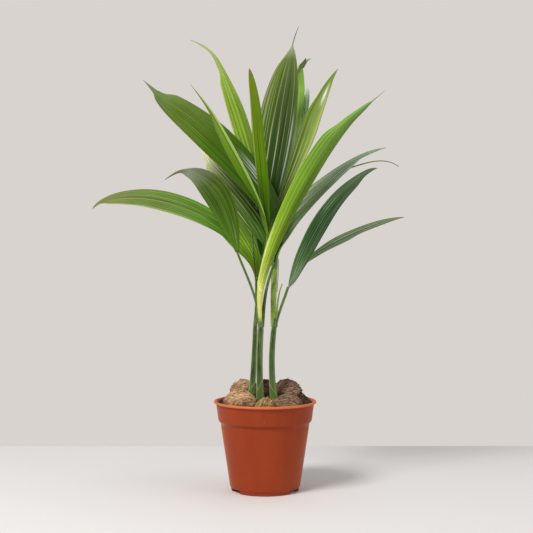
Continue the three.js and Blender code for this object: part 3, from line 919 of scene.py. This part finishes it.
def nutTree():
    desk, given = newTree(
        "huskedNut", Vector="centre size", Float="heading cut ridges dents shift", Material="surface")
    ball = desk.node("GeometryNodeMeshIcoSphere", {"Radius": 1, "Subdivisions": 6})
    place = desk.node("GeometryNodeInputPosition")
    x, y, z = place.parts()
    shift = desk.joined(given.shift, given.shift * 1.3)
    dents = desk.noise(place + shift, 1.5, 2) - 0.5
    ridges = desk.noise(desk.joined(x * 1.1, y * 6, z * 6) + shift, 1, 4, 0.62, 0.4) - 0.5
    strands = desk.noise(desk.joined(x * 1.6, y * 19, z * 19) + shift, 1, 2, 0.6, 0.6) - 0.5
    around = z.maths("ARCTAN2", y)
    keels = (around * 3 + given.shift).cosine() * (1 - x * x) * 0.05
    swell = 1 + dents * given.dents + ridges * given.ridges + strands * given.ridges * 0.45 + keels
    taper = 1 - (abs(x) ** 3) * 0.1
    shape = desk.joined((x * swell).atMost(given.cut), y * swell * taper, z * swell * taper)
    turned = desk.node("ShaderNodeVectorRotate", {
        "Vector": shape * (given.size * 0.5), "Angle": given.heading}, rotation_type="Z_AXIS")
    placed = turned + given.centre
    awayX, awayY, _ = placed.parts()
    pressed = (nutReach * mm / (awayX * awayX + awayY * awayY).maths("SQRT")).atMost(1)
    placed = placed * desk.joined(pressed, pressed, 1)
    husk = store(ball, "cut", (x * swell).ease(given.cut - 0.01, given.cut + 0.005))
    return endTree(smoothSkin(storeUv(husk, x, around), placed, closed=False), given.surface)


def fibreTree():
    # loose fibres lying along a husk
    desk, given = newTree("huskFibres", Object="nut", Float="heading fibres", Int="seed", Material="surface")
    husk = desk.node("GeometryNodeObjectInfo", {"Object": given.nut}, out="Geometry")
    points = husk.node("GeometryNodeDistributePointsOnFaces", {
        "Mesh": husk, "Density": given.fibres, "Seed": given.seed})
    upright = Wire(desk.tree, points.socket.node.outputs["Rotation"])
    headed = desk.joined(given.heading.cosine(), given.heading.sine())
    stray = desk.chance((-0.5, -0.5, -0.2), (0.5, 0.5, 0.3), 4)
    lying = desk.node("FunctionNodeAlignRotationToVector", {"Rotation": upright, "Vector": headed + stray},
                      axis="X", pivot_axis="Z")
    arc = desk.node("GeometryNodeCurveQuadraticBezier", {
        "Resolution": 6, "Start": (-0.5, 0, -0.02), "Middle": (0, 0.06, 0.12), "End": (0.5, 0, 0.03)})
    ring = desk.node("GeometryNodeCurvePrimitiveCircle", {"Resolution": 4, "Radius": 0.03})
    strand = desk.node("GeometryNodeCurveToMesh", {"Curve": arc, "Profile Curve": ring, "Fill Caps": True})
    length = desk.chance(*scaled(fibreLengths), 9)
    laid = points.node("GeometryNodeInstanceOnPoints", {
        "Points": points, "Instance": strand, "Rotation": lying,
        "Scale": desk.joined(length, length, length)})
    return endTree(laid, given.surface)


def huskSurface(name, dark, pale):
    surface, desk = newSurface(name)
    place = desk.place()
    along, around, _ = desk.uvParts()
    strands = desk.grain((along, around, 0), (2.2, 22, 1), 5, 0.65, 0.5)
    blotch = desk.noise(place, 95, 4, 0.6)
    tone = (0.5 + (strands - 0.5) * 3.2 + (blotch - 0.5) * 1.2).ease(0.12, 0.85)
    seams = desk.grain((along, around, 4), (1.5, 9, 1), 3, 0.5, 1.2).ease(0.34, 0.42)
    colour = ((1 - seams) * 0.8).mix(tone.mix(srgb(dark), srgb(pale)), srgb(dark, 0.5))
    pits = desk.noise(place, 620, 3, 0.6).ease(0.6, 0.68)
    colour = (pits * 0.5).mix(colour, srgb(dark, 0.45))
    soiled = (1 - place.parts()[2].ease(*scaled(soiledHeights))) * blotch.ease(0.46, 0.6)
    colour = layered(colour, (soiled, 0.7, "30241d"), (desk.stored("cut"), 0.85, "2c221b"))
    finishSurface(desk, colour, 0.85, (strands + blotch * 0.6, 1, 0.8), shine=0.25)
    return surface


def makeNuts():
    tree, fibres = nutTree(), fibreTree()
    for index, (key, own) in enumerate(nuts.items()):
        name = key.replace("_", "-")
        nut = plainNut | own | dict(heading=math.radians(own["heading"]), shift=index * 3.7, seed=index + 2)
        skin = huskSurface(name + "-husk", nut["dark"], nut["pale"])
        hair = peatSurface(name + "-fibre", nut["dark"], nut["pale"], 0.8)
        husk = grow(name, tree, nut | dict(surface=skin))
        loose = grow(name + "-fibres", fibres, nut | dict(nut=husk, surface=hair))
        finishPiece(husk, "nut", key)
        finishPiece(loose, "nut")
    print("nuts are grown")


makeNuts()


# Leaves: each lobe is one blade, seated on its stalk's end where its path has only three points

# a stripe or sheen has its place across, width, start, end and strength, in percent, below 0 for a dark one;
# a sheen is a painted highlight

lobes = {
    "front_blade_right": dict(
        seat=(0.6, -2, -12), path=((16, -53, 365), (78, -84, 483), (161, -120, 561)), width=30.5, root=10.5,
        belly=0.62, fullness=0.88, hook=(16, 0, 23), hookStart=0.88, shoulder=(1.07, 0.76), turn=(35, 30),
        ribs=6, whip=0.04, whipWidth=3, gain=1.58,
        colours={3: "c4cc68", 12: "aaba50", 30: "82a02e", 50: "6a8f26", 70: "628432",
        90: "648442", 100: "6c8650"},
        rib=-0.18, ribWidth=0.35, lines=2, lean=0.5, ribDepth=0.07, contrast=2.4, streaks=34,
        stripes=[(30, 3, 8, 80, -50), (16, 2, 20, 70, -35), (22, 1.6, 15, 60, -30), (20, 40, 16, 60, -22),
        (93, 12, -10, 34, 70)]),
    "front_blade_upright": dict(
        path=((4, -50, 362), (4, -55, 387), (-3, -64, 437), (-22, -70, 601)), width=21, root=8, belly=0.8,
        fullness=0.66, hook=(-4, 0, -24), hookStart=0.85, shoulder=(-0.2, 0.79), turn=(-30, -35), ribs=4,
        whipWidth=2.6, gain=0.87, burn=0.03,
        colours={0: "648218", 30: "3f6213", 50: "496f08", 70: "588208", 100: "748c1b"},
        rib=-0.35, ribWidth=0.35, lines=1.5, lean=0.1,
        stripes=[(50, 6, 10, 85, -75), (93, 12, 10, 95, 25), (25, 6, 20, 70, -50), (75, 4, 20, 70, -40)]),
    "front_blade_left": dict(
        path=((-1.5, -40, 343), (1, -58, 388), (-27, -83, 449), (-102, -105, 573)), width=19, root=5,
        belly=0.77, fullness=1.52, hook=(-12, 0, 6), hookStart=0.91, shoulder=(0.47, 0.91), turn=(-38, -48),
        ribs=3, fold=-0.1, burn=0.03,
        colours={0: "889f30", 30: "68831f", 50: "4a6e08", 70: "5a8212", 88: "709030", 100: "747840"},
        contrast=1.6, cream="c0de7c",
        # the broad pale stripe is painted light on the half turned to the lamp, the dark one beside it
        # painted shade in the fold
        stripes=[(15, 38, 40, 110, 55), (46, 8, 10, 90, -60), (75, 6, 20, 70, -25)]),
    "front_blade_inner": dict(
        path=((17.5, -46, 373), (18, -34, 409), (59, -24, 513), (106, -8, 612)), width=31, root=4,
        belly=0.7, fullness=1.65, hook=(24, 0, -24), hookStart=0.71, shoulder=(0.48, 0.81), turn=(-40, -40),
        ribs=5, whipWidth=2.7, gain=0.91,
        colours={10: "415c0f", 30: "445d14", 50: "708a3a", 70: "76903e", 100: "768e2e"},
        rib=0.2, lean=-0.3, contrast=1.7,
        stripes=[(86, 7, 32, 64, 90), (70, 20, 28, 90, -40), (52, 5, 34, 60, 70), (44, 3, 30, 70, -50),
        (32, 4, 34, 64, 50), (10, 14, 50, 84, 40)],
        sheen=[(26, 20, 83, 85, 150)]),
    "side_blade_near": dict(
        nodes=("side_blade_near_inner", "side_blade_near_outer"), seat=(0.9, -1.2, -1),
        path=((-67, -72, 424), (-97, -98, 451), (-134, -126, 441)), width=40, root=0, belly=0.37,
        fullness=1.55, hook=(-8, 0, -9), hookStart=0.86, whip=0.12, whipWidth=6.4, shoulder=(1.06, 0.8),
        turn=(-15, -25), ribs=7, gain=1.18,
        # the grey stops at its bend are partly its own colour and partly a painted sheen
        colours={10: "466812", 30: "446212", 46: "546c2c", 60: "7a8862", 74: "929c84", 100: "60704a"},
        rib=-0.55, ribWidth=0.35, lines=1.6, lean=0.25, contrast=3.6, shine=0.12, streaks=36,
        sheen=[(30, 12, -10, 10, 10)]),
    "side_blade_far": dict(
        nodes=("side_blade_far_inner", "side_blade_far_outer"), seat=(-1.2, 0.8, -0.6),
        path=((-91, -32, 400), (-191, 5, 427), (-260, 48, 411)), width=32, root=4, belly=0.47,
        fullness=1.21, hook=(-10, 0, 21), hookStart=0.67, shoulder=(1.4, 0.86), turn=(20, 25), ribs=6,
        gain=0.76,
        colours={10: "4a790e", 30: "568a1a", 50: "668b32", 70: "758b48", 94: "96965c", 100: "a0885a"},
        rib=0.3, ribWidth=0.3, lines=1.4, contrast=2.6, streaks=20,
        stripes=[(40, 5, 20, 80, 25), (62, 5, 30, 85, 25), (52, 5, 20, 80, -30), (94, 10, 30, 80, 20)]),
    "broad_blade_left": dict(
        seat=(-1.2, 0.4, -0.8), path=((-15, -25, 449), (-113, -32, 543), (-174, -36, 591)), width=57,
        root=2, belly=0.49, fullness=1.29, hook=(-22, 0, 19), hookStart=0.92, shoulder=(-0.6, 0.8),
        turn=(32, 30), ribs=11, ribDepth=0.05, ribFrom=0.5, gain=0.99, whipWidth=2.6,
        colours={0: "22400a", 30: "3a5e12", 50: "466a12", 70: "526c1c", 90: "647a46", 100: "6c8258"},
        rib=0.35, ribWidth=0.25, lines=1.5, contrast=1.8, shine=0.12,
        sheen=[(26, 10, 32, 38, 70), (36, 5, 31, 38, 90), (44, 6, 30, 36, 90), (54, 5, 30, 33, 50)]),
    "broad_blade_right": dict(
        seat=(1.5, 0.8, -0.8), path=((32, 15, 396), (107, 42, 466), (184, 68, 506)), width=47, root=4,
        belly=0.26, fullness=1.25, hook=(20, 0, -24), hookStart=0.64, whip=0.035, whipWidth=5,
        shoulder=(-0.7, 0.78), turn=(-45, -45), ribs=6, gain=2.08,
        # its grey-green colours and grey cream are partly its own tone and partly a painted grey sheen; its
        # high gain is painted light for a lobe in shade
        colours={10: "466232", 30: "526b3c", 50: "5c704c", 70: "62735a", 100: "5a7058"},
        rib=0.35, ribWidth=0.35, lines=1.5, lean=-0.25, contrast=2.8, shine=0.14, cream="b8c8b4",
        stripes=[(20, 30, -10, 60, -40), (62, 4, 15, 70, -40), (42, 5, 20, 80, -50)],
        sheen=[(80, 6, 20, 50, 40), (50, 5, 15, 45, 40), (34, 3, 20, 40, 35), (60, 70, 12, 50, 8)]),
    "tall_blade_upright": dict(
        seat=(1.2, 0.6, -0.8), path=((-2, 18, 405), (20, 30, 566), (51, 46, 686)), width=62, root=1,
        belly=0.68, fullness=0.93, whip=0.131, whipWidth=3.5, hook=(-13, 0, -23), hookStart=0.71,
        shoulder=(0.93, 0.82), turn=(-32, -25), ribs=7, ribDepth=0.09, gain=0.96,
        colours={10: "183808", 35: "1e4612", 55: "365416", 74: "4c611c", 81: "586a2c",
        86: "96a082", 92: "627250"},
        rib=-0.3, lean=0.5, contrast=2.4, cream="d2d4b0", streaks=34,
        stripes=[(30, 50, 30, 70, -30), (95, 6, 50, 80, 30), (84, 8, 40, 72, 22), (74, 3, 50, 76, 25),
        (66, 1.4, 50, 70, 25), (55, 3, 46, 59, 60), (53, 1.6, 60, 80, 30), (36, 2.4, 46, 58, 55),
        (38, 1.4, 60, 78, 30), (23, 1.6, 48, 64, 30), (12, 1.8, 50, 80, 30), (6, 5, 46, 60, 30)],
        sheen=[(86, 6, 30, 50, 30), (7, 3.5, 46, 60, 40)]),
    "tall_blade_left": dict(
        seat=(-1.4, 0.8, -0.8), path=((-13, 22, 401), (-70, 44, 470), (-99, 60, 508)), width=60, root=3,
        belly=0.35, hook=(-17, 0, 12), hookStart=0.84, shoulder=(0.53, 0.74), turn=(50, 45), ribs=6,
        gain=1.89,
        colours={10: "3c5e1e", 30: "2c4711", 50: "40561f", 62: "6e794a", 76: "b8b892", 100: "bfbf9e"},
        rib=0.28, ribWidth=0.35, lines=1.6, cream="ceca96",
        stripes=[(45, 6, 56, 95, -80), (30, 4, 30, 62, 25), (62, 3, 30, 60, 25), (32, 4, 64, 90, -60),
        (58, 4, 60, 80, -50), (70, 3, 50, 75, -40), (92, 3, 30, 60, 30), (78, 2.5, 30, 60, 25),
        (84, 3, 50, 90, -40)]),
    "low_blade_upper": dict(
        seat=(0.5, -1.4, -0.6), path=((54, -68, 339), (97, -92, 413), (152, -110, 458)), width=30, root=1,
        belly=0.49, fullness=1.13, hook=(-24, 0, -12), shoulder=(-0.65, 0.84), turn=(40, 35), ribs=6,
        gain=1.16,
        colours={5: "647c58", 30: "446632", 50: "284e24", 70: "3e5c34", 100: "58704e"},
        rib=0.35, ribWidth=0.35, lines=1.4, lean=0.3, contrast=2.4, cream="c4d4b8",
        stripes=[(30, 6, 10, 28, 70), (50, 5, 10, 26, 65), (70, 5, 10, 24, 65), (45, 20, 35, 75, -30)],
        sheen=[(80, 10, -10, 12, 50), (60, 4, 2, 20, 40)]),
    "low_blade_lower": dict(
        seat=(1.4, 0.8, -0.6), path=((57, -18, 330), (112, 10, 366), (209.5, 46, 399)), width=19, root=7,
        belly=0.69, fullness=1.22, hook=(-24, 0, -12), hookStart=0.84, shoulder=(-0.3, 0.73),
        turn=(-50, -48), ribs=4,
        colours={10: "4a6332", 40: "546d44", 70: "607355", 100: "667258"},
        rib=0.5, ribWidth=0.4, cream="b0c896", contrast=2.6,
        stripes=[(36, 10, 10, 90, -50), (64, 8, 10, 85, -50)]),
    "spear_blade_left": dict(
        seat=(-1.3, 0.6, -0.8), path=((-23, 40, 497), (-60, 86, 609), (-118, 128, 683)), width=41, root=3,
        belly=0.41, fullness=1.54, whip=0.026, whipWidth=4.4, hook=(-23, 0, -6), hookStart=0.81,
        shoulder=(0.55, 0.69), turn=(50, 45), ribs=6, gain=1.12,
        colours={20: "749828", 50: "82a232", 70: "8ca844", 90: "9cae70", 100: "869250"},
        rib=0.2, ribWidth=0.3, lines=1.5, lean=-0.3, contrast=1.4,
        stripes=[(97, 7, 38, 78, 60), (80, 3.5, 30, 78, -40), (66, 3, 30, 72, -35)]),
    "spear_blade_right": dict(
        seat=(1.5, 1, -0.8), path=((29, 45, 440), (44, 84, 546), (55, 118, 644)), width=36, root=3,
        belly=0.6, fullness=0.62, turn=(-50, -45), ribs=6, gain=2.24,
        # its pale middle stops are painted light and a painted gloss against the shadow that
        # tall_blade_upright casts on it; its gain is painted light too
        colours={30: "86a05a", 50: "92aa6e", 60: "90a870", 70: "64863c", 82: "4e6c24", 100: "3c5618"},
        rib=0.25, lean=-0.5),
    "spear_leaf_tooth": dict(
        nodes=(), grid=(44, 33), path=((54, 112, 624), (57, 112, 635), (63, 113, 645), (71.5, 113, 651)),
        width=6, root=3, belly=0.5, turn=(-40, -20), ribs=2, gain=1.9,
        colours={0: "547032", 100: "687e68"}),
    "spear_leaf_brown_tooth": dict(
        nodes=(), grid=(44, 33), path=((52.5, 112.5, 624), (55, 112, 634), (59, 111, 643), (64, 110, 651)),
        width=6, root=3, belly=0.5, turn=(-40, -20), ribs=2, gain=2, burn=0.3,
        colours={0: "3a5018", 100: "423e2a"}),
    "spear_leaf_blunt_tip": dict(
        nodes=(), grid=(44, 33), path=((54, 66, 518), (59.5, 76, 548), (63.4, 85, 577), (64.2, 93, 603)),
        width=9, root=2, belly=0.7, fullness=0.28, turn=(-20, -20), ribs=2, gain=1.85,
        colours={0: "6a9042", 75: "809a70", 100: "9cac9e"}),
    "rear_blade_left": dict(
        seat=(-1.5, 0.5, -0.8), path=((-25, 48, 355), (-57, 105, 411), (-73, 165, 513)), width=57, root=2,
        belly=0.56, turn=(20, 50), ribs=7, gain=1.55,
        colours={10: "587810", 30: "507306", 50: "4b6d03", 100: "587808"},
        rib=0.25, ribWidth=0.3, lines=1.5, lean=0.3),
    "rear_blade_right": dict(
        seat=(1.5, 0.5, -0.8), path=((5, 60, 357), (22, 118, 445), (34, 175, 547)), width=38, root=4,
        # its high gain is painted light on a lobe that lies in shade
        belly=0.6, turn=(-20, -50), ribs=7, gain=2.5,
        colours={10: "5e761a", 50: "5a740e", 100: "648018"},
        rib=-0.25),
}
plainLobe = dict(
    fullness=1, whip=0, whipWidth=1.2, fold=0.25, thickness=0.5, ripple=0.5, ribDepth=0.12, hook=(0, 0, 0),
    hookStart=0.75, shoulder=(0, 0.8), grid=(130, 97), gain=1, rib=-0.2, ribWidth=0.16, ribFrom=0.05,
    lines=1, streaks=26, contrast=2, lean=0, rough=0.42, shine=0.08, burn=0.02, stripes=[], sheen=[],
    cream="ced488", night="0e2200", gloss="d6ded8", burnt="705c38")


def growLobe(name, tree, lobe):
    path = lobe["path"]
    if len(path) == 3:
        foot = stalks[name.split("_")[0] + "_stalk"]["path"][-1]
        path = (tuple(a + b for a, b in zip(foot, lobe["seat"])), *path)
    start, near, far, end = path
    tip = tuple(a - b for a, b in zip(end, lobe["hook"]))
    power = math.log(0.5) / math.log(lobe["belly"])  # puts the widest place at the belly
    rootTurn, tipTurn = (math.radians(turn) for turn in lobe["turn"])
    shoulder, shoulderStart = lobe["shoulder"]
    rows, columns = lobe["grid"]
    return grow(name.replace("_blade", "-leaf").replace("_", "-"), tree, lobe | dict(
        start=start, near=near, far=far, tip=tip, power=power, rootTurn=rootTurn, tipTurn=tipTurn,
        shoulder=shoulder, shoulderStart=shoulderStart, rows=rows, columns=columns,
        surface=leafSurface(name + "_skin", lobe)))


def makeLeaves():
    tree = bladeTree()
    for index, (name, own) in enumerate(lobes.items()):
        piece = growLobe(name, tree, plainLobe | own | dict(seed=index * 1.7, shift=index * 2.1))
        slot = "young_leaf" if name.startswith("front") else "leaf"
        finishPiece(piece, slot, *own.get("nodes", (name,)))
    print("leaves are grown")


makeLeaves()
